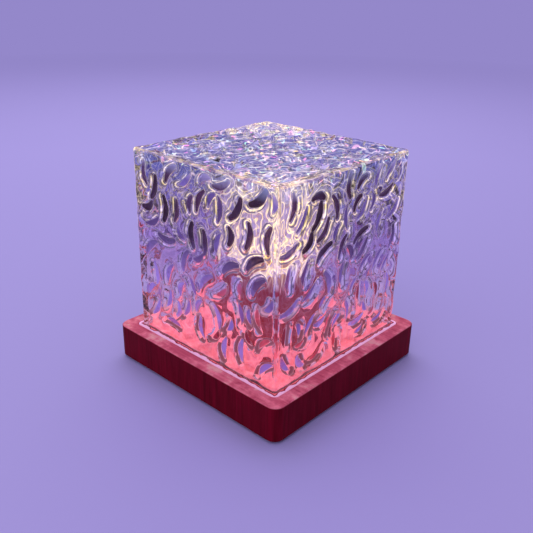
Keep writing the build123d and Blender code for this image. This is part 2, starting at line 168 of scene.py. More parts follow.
# Crystal cube: one clear acrylic moulding, open below, smooth inside and rippled outside with bean-shaped
# scoops. It stands loose in the base's groove on a foot flange, and lifts straight off.
cover_low, cover_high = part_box("crystal_cover")
cover_side = 93 * mm
cover_wall = 3 * mm
edge_radius = 2 * mm
flange_half = cover_high.x
flange_radius = 2.6 * mm
inner_radius = 0.5 * mm
face_middle = (cover_high.z + base_top) / 2

# Ripples: forty on each face where the solid has them, then up to eighteen short ones in the gaps.
ripple_count = 40
ripple_length = 12.4 * mm
ripple_width = 5.8 * mm
ripple_web = 1.3 * mm
filler_count = 18
filler_length = 8.4 * mm
filler_width = 3.6 * mm
filler_web = 1.2 * mm
ripple_tries = 4000
ripple_border = 2.6 * mm
ripple_lean = 30
ripple_scatter = 34
ripple_bend = 1.3 * mm
spine_share = 0.88
spine_parts = 8
spine_lift = 1.35 * mm
tone_seed = 7


def ripple_spots(face_number):
    """Place, lean and length of each ripple on one cube face: a throw stays if it clears the earlier ones."""
    throw = Random(face_number)
    spots = []
    taken = []
    for count, length, width, web in ((ripple_count, ripple_length, ripple_width, ripple_web),
                                      (filler_count, filler_length, filler_width, filler_web)):
        reach = (cover_side - width) / 2 - ripple_border
        run = (length - width) / 2
        wanted = len(spots) + count
        for _ in range(ripple_tries):
            x = throw.uniform(-reach, reach)
            y = throw.uniform(-reach, reach)
            lean = radians(throw.gauss(ripple_lean, ripple_scatter))
            beads = [(x + sin(lean) * run * step / 2, y + cos(lean) * run * step / 2)
                     for step in range(-2, 3)]
            inside = max(abs(way) for bead in beads for way in bead) <= reach
            apart = min((dist(bead, other) for bead in beads for other in taken), default=cover_side)
            if inside and apart > width + web:
                taken += beads
                spots.append((x, y, lean, length * spine_share))
            if len(spots) == wanted:
                break
    return spots


# Spines: a bent line along the middle of each ripple on the five faces. Its ends stand off the face, so
# that the ripple tapers towards them. Each spine has a random draw, which later gives its ripple a tone.
upright = Matrix(((1, 0, 0, 0), (0, 0, -1, -cover_side / 2), (0, 1, 0, face_middle), (0, 0, 0, 1)))
face_places = [Matrix.Rotation(radians(90 * quarter), 4, "Z") @ upright for quarter in range(4)]
face_places.append(Matrix.Translation((0, 0, cover_high.z)))
tone_throw = Random(tone_seed)
spine_points = []
spine_edges = []
spine_draws = []
for number, face_place in enumerate(face_places):
    for count, (x, y, lean, length) in enumerate(ripple_spots(number)):
        bend = ripple_bend * (1 if count % 2 else -1)
        lot = tone_throw.random()
        for part in range(spine_parts + 1):
            way = 2 * part / spine_parts - 1
            along = length / 2 * way
            across = bend * (way ** 2 - 0.5)
            if part:
                spine_edges.append((len(spine_points) - 1, len(spine_points)))
                spine_draws.append(lot)
            spine_points.append(face_place @ Vector((
                x + sin(lean) * along + cos(lean) * across, y + cos(lean) * along - sin(lean) * across,
                spine_lift * sqrt(1 - (1 - way ** 2) ** 2))))
spine_mesh = bpy.data.meshes.new("ripple_spines")
spine_mesh.from_pydata(spine_points, spine_edges, [])
spine_mesh.attributes.new("ripple_draw", "FLOAT", "EDGE").data.foreach_set("value", spine_draws)
cube = bpy.data.objects.new("crystal_cube", spine_mesh)
bpy.context.scene.collection.objects.link(cube)

# Rule of the outside: a finely divided block without its bottom, rounded at its edges, scooped where it is
# near a spine, with a soft dip round each scoop and slow waves between them.
cube_steps = 126
scoop_half = 3.0 * mm
scoop_floor = 1.1 * mm
scoop_depth = 1.1 * mm
skirt_half = 5.6 * mm
skirt_depth = 1.0 * mm
wave_pitch = 6 * mm
wave_depth = 0.8 * mm
bottom_facing = -0.9
core_half = cover_side / 2 - edge_radius
block = bpy.data.node_groups.new("rippled_block", "GeometryNodeTree")
block_inputs = (
    ("Spines", "NodeSocketGeometry", None),
    ("Side", "NodeSocketVector", [cover_side] * 3),
    ("Steps", "NodeSocketInt", cube_steps),
    ("Core Low", "NodeSocketVector", (-core_half, -core_half, -cover_side / 2)),
    ("Core High", "NodeSocketVector", [core_half] * 3),
    ("Edge Radius", "NodeSocketVector", [edge_radius] * 3),
    ("Lift", "NodeSocketVector", (0, 0, face_middle)),
    ("Scoop Half", "NodeSocketFloat", scoop_half),
    ("Scoop Floor", "NodeSocketFloat", scoop_floor),
    ("Scoop Depth", "NodeSocketFloat", scoop_depth),
    ("Skirt Half", "NodeSocketFloat", skirt_half),
    ("Skirt Depth", "NodeSocketFloat", skirt_depth),
    ("Waves", "NodeSocketFloat", 1 / wave_pitch),
    ("Wave Depth", "NodeSocketFloat", wave_depth),
    ("Acrylic", "NodeSocketMaterial", None))
block_sockets = {name: block.interface.new_socket(name, in_out="INPUT", socket_type=kind).identifier
                 for name, kind, _ in block_inputs}
block.interface.new_socket("Block", in_out="OUTPUT", socket_type="NodeSocketGeometry")
given = node(block, "NodeGroupInput").outputs
solid = node(block, "GeometryNodeMeshCube", {
    "Size": given["Side"], "Vertices X": given["Steps"], "Vertices Y": given["Steps"],
    "Vertices Z": given["Steps"]})
facing = node(block, "GeometryNodeInputNormal")
facing_up = node(block, "ShaderNodeSeparateXYZ", {"Vector": facing}).outputs["Z"]
facing_down = node(block, "ShaderNodeMath", {0: facing_up, 1: bottom_facing}, operation="LESS_THAN")
open_block = node(block, "GeometryNodeDeleteGeometry", {
    "Geometry": solid, "Selection": facing_down}, domain="FACE")
place = node(block, "GeometryNodeInputPosition")
above = node(block, "ShaderNodeVectorMath", {0: place, 1: given["Core Low"]}, operation="MAXIMUM")
core = node(block, "ShaderNodeVectorMath", {0: above, 1: given["Core High"]}, operation="MINIMUM")
outward = node(block, "ShaderNodeVectorMath", {0: place, 1: core}, operation="SUBTRACT")
one_out = node(block, "ShaderNodeVectorMath", {0: outward}, operation="NORMALIZE")
rounded = node(block, "ShaderNodeVectorMath", {
    0: one_out, 1: given["Edge Radius"], 2: core}, operation="MULTIPLY_ADD")
round_block = node(block, "GeometryNodeSetPosition", {"Geometry": open_block, "Position": rounded})
raised = node(block, "GeometryNodeTransform", {"Geometry": round_block, "Translation": given["Lift"]})
to_spine = node(block, "GeometryNodeProximity", {
    "Geometry": given["Spines"]}, target_element="EDGES").outputs["Distance"]
scoop = node(block, "ShaderNodeMapRange", {
    "Value": to_spine, "From Min": given["Scoop Half"], "From Max": given["Scoop Floor"],
    "To Max": given["Scoop Depth"]}, interpolation_type="SMOOTHSTEP")
skirt = node(block, "ShaderNodeMapRange", {
    "Value": to_spine, "From Min": given["Skirt Half"], "From Max": 0.0,
    "To Max": given["Skirt Depth"]}, interpolation_type="SMOOTHSTEP")
waves = node(block, "ShaderNodeTexNoise", {"Vector": place, "Scale": given["Waves"], "Detail": 0.0})
hollow = node(block, "ShaderNodeMath", {0: scoop, 1: skirt}, operation="ADD")
sunk = node(block, "ShaderNodeMath", {
    0: waves, 1: given["Wave Depth"], 2: hollow}, operation="MULTIPLY_ADD")
back_in = node(block, "ShaderNodeMath", {0: sunk, 1: -1.0}, operation="MULTIPLY")
inward = node(block, "ShaderNodeVectorMath", {0: facing, "Scale": back_in}, operation="SCALE")
nearest_spine = node(block, "GeometryNodeSampleNearest", {"Geometry": given["Spines"]}, domain="EDGE")
spine_draw = node(block, "GeometryNodeInputNamedAttribute", {"Name": "ripple_draw"}, data_type="FLOAT")
ripple_draw = node(block, "GeometryNodeSampleIndex", {
    "Geometry": given["Spines"], "Value": spine_draw, "Index": nearest_spine},
    data_type="FLOAT", domain="EDGE")
drawn = node(block, "GeometryNodeStoreNamedAttribute", {
    "Geometry": raised, "Name": "ripple_draw", "Value": ripple_draw}, data_type="FLOAT", domain="POINT")
measured = node(block, "GeometryNodeStoreNamedAttribute", {
    "Geometry": drawn, "Name": "scoop_distance", "Value": to_spine}, data_type="FLOAT", domain="POINT")
rippled = node(block, "GeometryNodeSetPosition", {"Geometry": measured, "Offset": inward})
smooth = node(block, "GeometryNodeSetShadeSmooth", {"Geometry": rippled, "Shade Smooth": True})
realized = node(block, "GeometryNodeRealizeInstances", {"Geometry": smooth})
coated = node(block, "GeometryNodeSetMaterial", {"Geometry": realized, "Material": given["Acrylic"]})
node(block, "NodeGroupOutput", {"Block": coated})

# Lit edges: painted light of the lamp gathers towards the front right and the rear left upright edge, where X
# and Y differ most.
corner_near = 47 * mm
corner_full = 77 * mm


def place_on_cube(tree):
    """A place on the cube, its rise up the wall, its way to the lit edges and its nearness to them."""
    place = node(tree, "ShaderNodeTexCoord").outputs["Object"]
    spot = node(tree, "ShaderNodeSeparateXYZ", {"Vector": place}).outputs
    rise = node(tree, "ShaderNodeMapRange", {
        "Value": spot["Z"], "From Min": base_top, "From Max": cover_high.z})
    aslant = node(tree, "ShaderNodeMath", {0: spot["X"], 1: spot["Y"]}, operation="SUBTRACT")
    edgeward = node(tree, "ShaderNodeMath", {0: aslant}, operation="ABSOLUTE")
    near_edge = node(tree, "ShaderNodeMapRange", {
        "Value": edgeward, "From Min": corner_near, "From Max": corner_full})
    return place, rise, edgeward, near_edge


def finish_acrylic(tree, acrylic):
    """Ends an acrylic so that the lamps shine through it."""
    passing = node(tree, "ShaderNodeBsdfTransparent", {"Color": linear("#F2F0FA")})
    shadow_ray = node(tree, "ShaderNodeLightPath").outputs["Is Shadow Ray"]
    mixed = node(tree, "ShaderNodeMixShader", {"Fac": shadow_ray, 1: acrylic, 2: passing})
    node(tree, "ShaderNodeOutputMaterial", {"Surface": mixed})


# Polished clear acrylic: clear wavy webs between scoops whose floors are painted as flat glowing windows.
# What the slopes bend into view is painted round each window in bands, and thin rims there carry a painted
# glow of the lamp's light.
acrylic_ior = 1.49
scoop_span = 5 * mm
narrow_spread = 0.4
clear_acrylic, tree = start_material("polished clear acrylic")
place, rise, edgeward, near_edge = place_on_cube(tree)
near_top = node(tree, "ShaderNodeValToRGB", {"Fac": rise}, [(0.90, 0.0), (0.98, 1.0)])
to_spine = node(tree, "ShaderNodeAttribute", attribute_name="scoop_distance").outputs["Fac"]
draw = node(tree, "ShaderNodeAttribute", attribute_name="ripple_draw").outputs["Fac"]
slimness = node(tree, "ShaderNodeMapRange", {
    "Value": rise, "From Min": 0.35, "From Max": 0.65, "To Min": 0.98, "To Max": 0.8})
narrowing = node(tree, "ShaderNodeMath", {0: draw, 1: narrow_spread, 2: slimness}, operation="MULTIPLY_ADD")
drawn_in = node(tree, "ShaderNodeMath", {0: to_spine, 1: narrowing}, operation="MULTIPLY")
from_spine = node(tree, "ShaderNodeMapRange", {"Value": drawn_in, "From Max": scoop_span})
window = node(tree, "ShaderNodeValToRGB", {"Fac": from_spine}, [(0.30, 1.0), (0.35, 0.0)])
rim = node(tree, "ShaderNodeValToRGB", {"Fac": from_spine}, [
    (0.37, 0.0), (0.41, 1.0), (0.43, 1.0), (0.48, 0.0)])
web = node(tree, "ShaderNodeValToRGB", {"Fac": from_spine}, [(0.46, 0.0), (0.56, 0.55)])

# Windows: each is painted one flat tone of what its scoop floor bends into view, a painted refraction,
# lavender or red below, mostly dark plum above and pale blue and lilac on the top.
red_lean = 0.22
mood_size = 6 * mm
red_draw = node(tree, "ShaderNodeMath", {
    0: edgeward, 1: red_lean / cover_side, 2: draw}, operation="MULTIPLY_ADD")
low_tone = node(tree, "ShaderNodeValToRGB", {"Fac": red_draw}, [
    (0.0, "#967ACA"), (0.5, "#8066B4"), (0.80, "#765AA8"), (0.85, "#7A2030"), (0.97, "#8A2838"),
    (1.0, "#C04C60")])
high_tone = node(tree, "ShaderNodeValToRGB", {"Fac": draw}, [
    (0.0, "#200C1A"), (0.55, "#40223E"), (0.68, "#54407A"), (1.0, "#705CA4")])
top_tone = node(tree, "ShaderNodeValToRGB", {"Fac": draw}, [
    (0.0, "#7880AE"), (0.5, "#A09CCE"), (1.0, "#C0ACD8")])
is_high = node(tree, "ShaderNodeMapRange", {"Value": rise, "From Min": 0.34, "From Max": 0.62})
side_tone = node(tree, "ShaderNodeMix", {
    "Factor": is_high, "A": low_tone, "B": high_tone}, data_type="RGBA")
tone = node(tree, "ShaderNodeMix", {"Factor": near_top, "A": side_tone, "B": top_tone}, data_type="RGBA")
mood = node(tree, "ShaderNodeTexNoise", {
    "Vector": place, "Scale": 1 / mood_size, "Detail": 2.0, "Distortion": 0.8})
mood_share = node(tree, "ShaderNodeValToRGB", {"Fac": mood}, [(0.36, 0.45), (0.60, 0.85)])
window_share = node(tree, "ShaderNodeMath", {0: window, 1: mood_share}, operation="MULTIPLY")

# Bands: the slopes round the windows are painted with the lit wood they bend into view, in coral or dark red,
# further up towards the two lit edges, and above it the sides have a thin painted plum contour of shade in
# places.
wood_rise = 0.32
dark_lean = 0.14
turn_size = 5 * mm
wood_reach = node(tree, "ShaderNodeMath", {
    0: edgeward, 1: -wood_rise / cover_side, 2: rise}, operation="MULTIPLY_ADD")
over_wood = node(tree, "ShaderNodeMapRange", {"Value": wood_reach, "From Min": 0.16, "From Max": 0.06})
slope = node(tree, "ShaderNodeValToRGB", {"Fac": from_spine}, [
    (0.34, 0.0), (0.37, 0.92), (0.50, 0.92), (0.58, 0.0)])
turns = node(tree, "ShaderNodeTexNoise", {"Vector": place, "Scale": 1 / turn_size, "Detail": 0.0})
turned = node(tree, "ShaderNodeMath", {
    0: edgeward, 1: dark_lean / cover_side, 2: turns}, operation="MULTIPLY_ADD")
dark_side = node(tree, "ShaderNodeValToRGB", {"Fac": turned}, [(0.50, 0.0), (0.55, 0.9)])
side_only = node(tree, "ShaderNodeMath", {
    0: dark_side, 1: near_top}, operation="SUBTRACT", use_clamp=True)
contour = node(tree, "ShaderNodeValToRGB", {"Fac": from_spine}, [
    (0.49, 0.0), (0.52, 1.0), (0.57, 1.0), (0.62, 0.0)])
contour_share = node(tree, "ShaderNodeMath", {0: contour, 1: side_only}, operation="MULTIPLY")
wood_share = node(tree, "ShaderNodeMath", {0: slope, 1: over_wood}, operation="MULTIPLY")
slope_share = node(tree, "ShaderNodeMath", {0: wood_share, 1: contour_share}, operation="MAXIMUM")
wood_tone = node(tree, "ShaderNodeValToRGB", {"Fac": turned}, [(0.51, "#FF7A8C"), (0.56, "#641628")])
slope_tone = node(tree, "ShaderNodeMix", {
    "Factor": over_wood, "A": linear("#2C1E50"), "B": wood_tone}, data_type="RGBA")
painted = node(tree, "ShaderNodeMath", {0: window_share, 1: slope_share}, operation="MAXIMUM")
clearness = node(tree, "ShaderNodeMath", {0: 1.0, 1: painted}, operation="SUBTRACT")
# Painted light: the clear webs are tinted by height, pinkish near the lit wood and lavender to blue above.
painted_web_tint = node(tree, "ShaderNodeValToRGB", {"Fac": rise}, [
    (0.30, "#F8EEF0"), (0.50, "#E2D0E8"), (0.70, "#D0C6E4"), (0.86, "#C0BEDE"), (0.93, "#B4BEDC")])
banded_web = node(tree, "ShaderNodeMix", {
    "Factor": slope_share, "A": painted_web_tint, "B": slope_tone}, data_type="RGBA")
acrylic_colour = node(tree, "ShaderNodeMix", {
    "Factor": window, "A": banded_web, "B": tone}, data_type="RGBA")

# Painted light lines: broken rims round the windows and flowing lines on the webs, pink near the wood,
# lavender above and cream towards the two lit edges, where the webs have a painted glow too, and painted
# coloured glints on the top.
break_size = 5 * mm
flow_size = 8 * mm
flow_bends = 3.0
line_pitch = 2.2 * mm
line_fold = 0.5
glint_pitch = 3.2 * mm
edge_rim_light = 0.7
edge_flow_light = 1.0
edge_web_light = 0.36
glint_light = 1.1
paint_light = 0.62
fine_wave = 3 * mm
fine_depth = 0.25 * mm
fine_strength = 0.06
above_lens = node(tree, "ShaderNodeValToRGB", {"Fac": rise}, [
    (0.50, 0.0), (0.64, 1.0), (0.90, 1.0), (1.0, 0.4)])
edge_light = node(tree, "ShaderNodeMath", {0: near_edge, 1: above_lens}, operation="MULTIPLY")
rim_level = node(tree, "ShaderNodeValToRGB", {"Fac": rise}, [
    (0.0, 0.12), (0.30, 0.14), (0.45, 0.26), (0.60, 0.46), (0.74, 0.95), (1.0, 0.60)])
rim_strength = node(tree, "ShaderNodeMath", {
    0: edge_light, 1: edge_rim_light, 2: rim_level}, operation="MULTIPLY_ADD")
broken = node(tree, "ShaderNodeTexNoise", {"Vector": place, "Scale": 1 / break_size, "Detail": 1.0})
unbroken = node(tree, "ShaderNodeMapRange", {"Value": broken, "From Min": 0.40, "From Max": 0.58})
rim_part = node(tree, "ShaderNodeMath", {0: rim, 1: unbroken}, operation="MULTIPLY")
flow = node(tree, "ShaderNodeTexNoise", {
    "Vector": place, "Scale": 1 / flow_size, "Detail": 0.5, "Distortion": 0.8})
flow_bend = node(tree, "ShaderNodeMath", {0: flow, 1: flow_bends}, operation="MULTIPLY")
flow_way = node(tree, "ShaderNodeMath", {
    0: to_spine, 1: 1 / line_pitch, 2: flow_bend}, operation="MULTIPLY_ADD")
flow_wave = node(tree, "ShaderNodeMath", {0: flow_way, 1: line_fold}, operation="PINGPONG")
flow_lines = node(tree, "ShaderNodeValToRGB", {"Fac": flow_wave}, [(0.33, 0.0), (0.46, 1.0)])
flow_level = node(tree, "ShaderNodeValToRGB", {"Fac": rise}, [
    (0.0, 0.16), (0.45, 0.10), (0.60, 0.16), (0.76, 0.32), (0.96, 0.30), (0.99, 0.50)])
flow_strength = node(tree, "ShaderNodeMath", {
    0: edge_light, 1: edge_flow_light, 2: flow_level}, operation="MULTIPLY_ADD")
web_lines = node(tree, "ShaderNodeMath", {0: web, 1: flow_lines}, operation="MULTIPLY")
web_strength = node(tree, "ShaderNodeMath", {0: web_lines, 1: flow_strength}, operation="MULTIPLY")
line_strength = node(tree, "ShaderNodeMath", {
    0: rim_part, 1: rim_strength, 2: web_strength}, operation="MULTIPLY_ADD")
cells = node(tree, "ShaderNodeTexVoronoi", {"Vector": place, "Scale": 1 / glint_pitch}).outputs
cell_draws = node(tree, "ShaderNodeSeparateColor", {"Color": cells["Color"]}).outputs
in_cell = node(tree, "ShaderNodeMapRange", {
    "Value": cells["Distance"], "From Min": 0.60, "From Max": 0.35})
chosen = node(tree, "ShaderNodeValToRGB", {"Fac": cell_draws["Red"]}, [(0.50, 0.0), (0.54, 1.0)])
top_cells = node(tree, "ShaderNodeMath", {0: in_cell, 1: near_top}, operation="MULTIPLY")
glints = node(tree, "ShaderNodeMath", {0: top_cells, 1: chosen}, operation="MULTIPLY")
glint_colour = node(tree, "ShaderNodeValToRGB", {"Fac": cell_draws["Green"]}, [
    (0.0, "#FFDC78"), (0.40, "#FF6CC4"), (0.60, "#FFEEB0"), (0.80, "#90E8C0"), (1.0, "#C890FF")])
glint_lines = node(tree, "ShaderNodeMath", {0: glints, 1: flow_lines}, operation="MULTIPLY")
glow = node(tree, "ShaderNodeMath", {0: web, 1: edge_light}, operation="MULTIPLY")
glowing_lines = node(tree, "ShaderNodeMath", {
    0: glow, 1: edge_web_light, 2: line_strength}, operation="MULTIPLY_ADD")
lit_lines = node(tree, "ShaderNodeMath", {
    0: glint_lines, 1: glint_light, 2: glowing_lines}, operation="MULTIPLY_ADD")
strength = node(tree, "ShaderNodeMath", {
    0: painted, 1: paint_light, 2: lit_lines}, operation="MULTIPLY_ADD")
rim_stops = [(0.0, "#FF9CA4"), (0.28, "#F0A0C4"), (0.5, "#CFBAFA"), (0.70, "#F4DCB4"), (0.84, "#FFE498")]
rim_colour = node(tree, "ShaderNodeValToRGB", {"Fac": rise}, rim_stops + [(0.97, "#F8E6DC")])
on_line = node(tree, "ShaderNodeMath", {0: flow_lines, 1: rim}, operation="MAXIMUM")
cream = node(tree, "ShaderNodeMix", {
    "Factor": on_line, "A": linear("#E6C4B8"), "B": linear("#FFE07C")}, data_type="RGBA")
lamp_colour = node(tree, "ShaderNodeMix", {
    "Factor": edge_light, "A": rim_colour, "B": cream}, data_type="RGBA")
line_colour = node(tree, "ShaderNodeMix", {
    "Factor": glints, "A": lamp_colour, "B": glint_colour}, data_type="RGBA")
banded_lines = node(tree, "ShaderNodeMix", {
    "Factor": slope_share, "A": line_colour, "B": slope_tone}, data_type="RGBA")
light_colour = node(tree, "ShaderNodeMix", {
    "Factor": window, "A": banded_lines, "B": tone}, data_type="RGBA")
fine = node(tree, "ShaderNodeTexNoise", {"Vector": place, "Scale": 1 / fine_wave, "Detail": 1.0})
wavy = node(tree, "ShaderNodeBump", {"Strength": fine_strength, "Distance": fine_depth, "Height": fine})
finish_acrylic(tree, node(tree, "ShaderNodeBsdfPrincipled", {
    "Base Color": acrylic_colour, "Roughness": 0.02, "IOR": acrylic_ior,
    "Transmission Weight": clearness, "Specular IOR Level": 0.3, "Normal": wavy,
    "Emission Color": light_colour, "Emission Strength": strength}))

# Rounded edges of the same acrylic: the lamp's light they gather is painted on in sparks, pink below and
# cream above. The lower half of the two lit edges is painted in places with the wood and the dark red tube it
# bends into view.
spark_size = 4 * mm
edge_clear = 0.95
edge_hazed = 0.35
edge_red_light = 0.45
lit_edge, tree = start_material("lit edge of clear acrylic")
place, rise, _, near_edge = place_on_cube(tree)
low_half = node(tree, "ShaderNodeValToRGB", {"Fac": rise}, [
    (0.03, 0.0), (0.06, 1.0), (0.52, 1.0), (0.58, 0.0)])
sparks = node(tree, "ShaderNodeTexNoise", {"Vector": place, "Scale": 1 / spark_size, "Detail": 2.0})
red_parts = node(tree, "ShaderNodeValToRGB", {"Fac": sparks}, [(0.40, 0.25), (0.56, 1.0)])
low_parts = node(tree, "ShaderNodeMath", {0: low_half, 1: red_parts}, operation="MULTIPLY")
red_share = node(tree, "ShaderNodeMath", {0: near_edge, 1: low_parts}, operation="MULTIPLY")
red_tone = node(tree, "ShaderNodeValToRGB", {"Fac": rise}, [
    (0.06, "#F4787E"), (0.20, "#DC6070"), (0.30, "#8C2C3E"), (0.50, "#782238")])
edge_tint = node(tree, "ShaderNodeMix", {
    "Factor": red_share, "A": linear("#E6DAE8"), "B": red_tone}, data_type="RGBA")
edge_clearness = node(tree, "ShaderNodeMapRange", {
    "Value": red_share, "To Min": edge_clear, "To Max": edge_hazed})
spark_level = node(tree, "ShaderNodeValToRGB", {"Fac": sparks}, [(0.45, 0.10), (0.60, 0.8)])
edge_level = node(tree, "ShaderNodeValToRGB", {"Fac": rise}, [(0.35, 0.10), (0.65, 0.6), (1.0, 0.5)])
spark_strength = node(tree, "ShaderNodeMath", {0: spark_level, 1: edge_level}, operation="MULTIPLY")
edge_strength = node(tree, "ShaderNodeMath", {
    0: red_share, 1: edge_red_light, 2: spark_strength}, operation="MULTIPLY_ADD")
spark_colour = node(tree, "ShaderNodeValToRGB", {"Fac": rise}, rim_stops)
edge_colour = node(tree, "ShaderNodeMix", {
    "Factor": red_share, "A": spark_colour, "B": red_tone}, data_type="RGBA")
finish_acrylic(tree, node(tree, "ShaderNodeBsdfPrincipled", {
    "Base Color": edge_tint, "Roughness": 0.05, "IOR": acrylic_ior, "Transmission Weight": edge_clearness,
    "Specular IOR Level": 0.2, "Emission Color": edge_colour, "Emission Strength": edge_strength}))

# Foot flange of the same acrylic, painted with light and shade: coral from the lit wood inside, then a ragged
# dark red line of painted shade and a pale strip of painted highlight outside.
ragged_size = 4 * mm
ragged_reach = 3.4 * mm
strip_width = 3.0 * mm
strip_light = 0.4
lit_flange, tree = start_material("lit foot of clear acrylic")
place = node(tree, "ShaderNodeTexCoord").outputs["Object"]
ragged = node(tree, "ShaderNodeTexNoise", {"Vector": place, "Scale": 1 / ragged_size, "Detail": 2.0})
ragged_way = node(tree, "ShaderNodeMath", {
    0: ragged, 1: ragged_reach, 2: out_from_axis(tree, place)}, operation="MULTIPLY_ADD")
along_strip = node(tree, "ShaderNodeMapRange", {
    "Value": ragged_way, "From Min": cover_side / 2, "From Max": cover_side / 2 + strip_width})
flange_light_and_shade = node(tree, "ShaderNodeValToRGB", {"Fac": along_strip}, [
    (0.46, "#E86A74"), (0.54, "#8A1A2C"), (0.66, "#7A1424"), (0.74, "#ECB4DC")])
finish_acrylic(tree, node(tree, "ShaderNodeBsdfPrincipled", {
    "Base Color": flange_light_and_shade, "Roughness": 0.15, "IOR": acrylic_ior, "Transmission Weight": 0.3,
    "Emission Color": flange_light_and_shade, "Emission Strength": strip_light}))

rule = cube.modifiers.new("rippled_block", "NODES")
rule.node_group = block
for name, _, value in block_inputs:
    if value is not None:
        rule[block_sockets[name]] = value
rule[block_sockets["Acrylic"]] = clear_acrylic
evaluated = cube.evaluated_get(bpy.context.evaluated_depsgraph_get())
cube_mesh = bpy.data.meshes.new_from_object(evaluated)
cube.modifiers.clear()
cube.data = cube_mesh
bpy.data.meshes.remove(spine_mesh)

# The rest of the moulding grows from the bottom edge: out to the flange, down, in, up the smooth inside and
# shut.
web_slot, edge_slot, flange_slot = 0, 1, 2
edge_share = 0.9
edge_begin = cover_side / 2 - edge_share * edge_radius
inner_half = cover_side / 2 - cover_wall
inner_top = cover_high.z - cover_wall
bm = bmesh.new()
bm.from_mesh(cube_mesh)
for face in bm.faces:
    middle = face.calc_center_median()
    second = sorted((abs(middle.x), abs(middle.y), abs(middle.z - face_middle)))[1]
    face.material_index = edge_slot if second > edge_begin else web_slot
loop = [edge for edge in bm.edges if edge.is_boundary]
for half, radius, level, slot in ((flange_half, flange_radius, base_top, flange_slot),
                                  (flange_half, flange_radius, cover_low.z, flange_slot),
                                  (inner_half, inner_radius, cover_low.z, flange_slot),
                                  (inner_half, inner_radius, inner_top, web_slot)):
    grown = bmesh.ops.extrude_edge_only(bm, edges=loop)["geom"]
    loop = [item for item in grown if isinstance(item, bmesh.types.BMEdge) and item.is_boundary]
    for item in grown:
        if isinstance(item, bmesh.types.BMFace):
            item.material_index = slot
            item.smooth = False
        if isinstance(item, bmesh.types.BMVert):
            spread = item.co.xy * (half * 2 / cover_side)
            corner = Vector([max(radius - half, min(half - radius, way)) for way in spread])
            item.co.xy = corner + (spread - corner).normalized() * radius
            item.co.z = level
bmesh.ops.edgeloop_fill(bm, edges=loop, mat_nr=web_slot)
bmesh.ops.recalc_face_normals(bm, faces=bm.faces)
cube_mesh.materials.clear()
for acrylic in (clear_acrylic, lit_edge, lit_flange):
    cube_mesh.materials.append(acrylic)
bm.to_mesh(cube_mesh)
bm.free()
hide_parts("crystal_cover")
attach(cube, "cover")


# Light tube: a moulded plastic tube that stands on the wood round the light hole and holds the lens in its
# mouth. It is glued down by its foot flange.
# Satin moulded plastic: dark red, with a painted red glow for the lamp's light on it and a fine spark-eroded
# grain that keeps its highlight soft, drawn coarser than it is so that it shows.
tube_grain = 0.8 * mm
tube_grain_depth = 0.05 * mm
tube_light = 0.32
tube_plastic, tree = start_material("satin dark red moulded plastic")
place = node(tree, "ShaderNodeTexCoord").outputs["Object"]
grain = node(tree, "ShaderNodeTexNoise", {"Vector": place, "Scale": 1 / tube_grain, "Detail": 3.0})
tube_colour = node(tree, "ShaderNodeValToRGB", {"Fac": grain}, [(0.3, "#7C1418"), (0.7, "#982022")])
tube_bump = node(tree, "ShaderNodeBump", {"Strength": 0.1, "Distance": tube_grain_depth, "Height": grain})
tube_shader = node(tree, "ShaderNodeBsdfPrincipled", {
    "Base Color": tube_colour, "Roughness": 0.55, "Normal": tube_bump, "Specular IOR Level": 0.1,
    "Emission Color": linear("#B02A28"), "Emission Strength": tube_light})
node(tree, "ShaderNodeOutputMaterial", {"Surface": tube_shader})
give(tube_plastic, "light_tube")


# Lenses: a thick clear disc bonded in the tube's mouth, and the rippled disc that turns below it. Both are
# moulded acrylic with the lamps shining up through them.
# Lit clear acrylic: a painted glow of bright cream water lines round lavender cells, for the lamps' light.
water_size = 6 * mm
stir_size = 14 * mm
stir_share = 0.012
lens_light = 0.9
lit_lens, tree = start_material("clear acrylic lit from below")
place = node(tree, "ShaderNodeTexCoord").outputs["Object"]
stir = node(tree, "ShaderNodeTexNoise", {
    "Vector": place, "Scale": 1 / stir_size, "Detail": 2.0}).outputs["Color"]
stirred = node(tree, "ShaderNodeMix", {"Factor": stir_share, "A": place, "B": stir}, data_type="VECTOR")
water = node(tree, "ShaderNodeTexVoronoi", {
    "Vector": stirred, "Scale": 1 / water_size}, feature="DISTANCE_TO_EDGE")
water_colour = node(tree, "ShaderNodeValToRGB", {"Fac": water}, [
    (0.02, "#FFF2B8"), (0.10, "#FFE2A0"), (0.18, "#C8AEDC"), (0.5, "#9C84C8")])
lens_shader = node(tree, "ShaderNodeBsdfPrincipled", {
    "Base Color": linear("#8A7850"), "Roughness": 0.12, "IOR": acrylic_ior,
    "Emission Color": water_colour, "Emission Strength": lens_light})
node(tree, "ShaderNodeOutputMaterial", {"Surface": lens_shader})
give(lit_lens, "projection_lens", "ripple_lens")


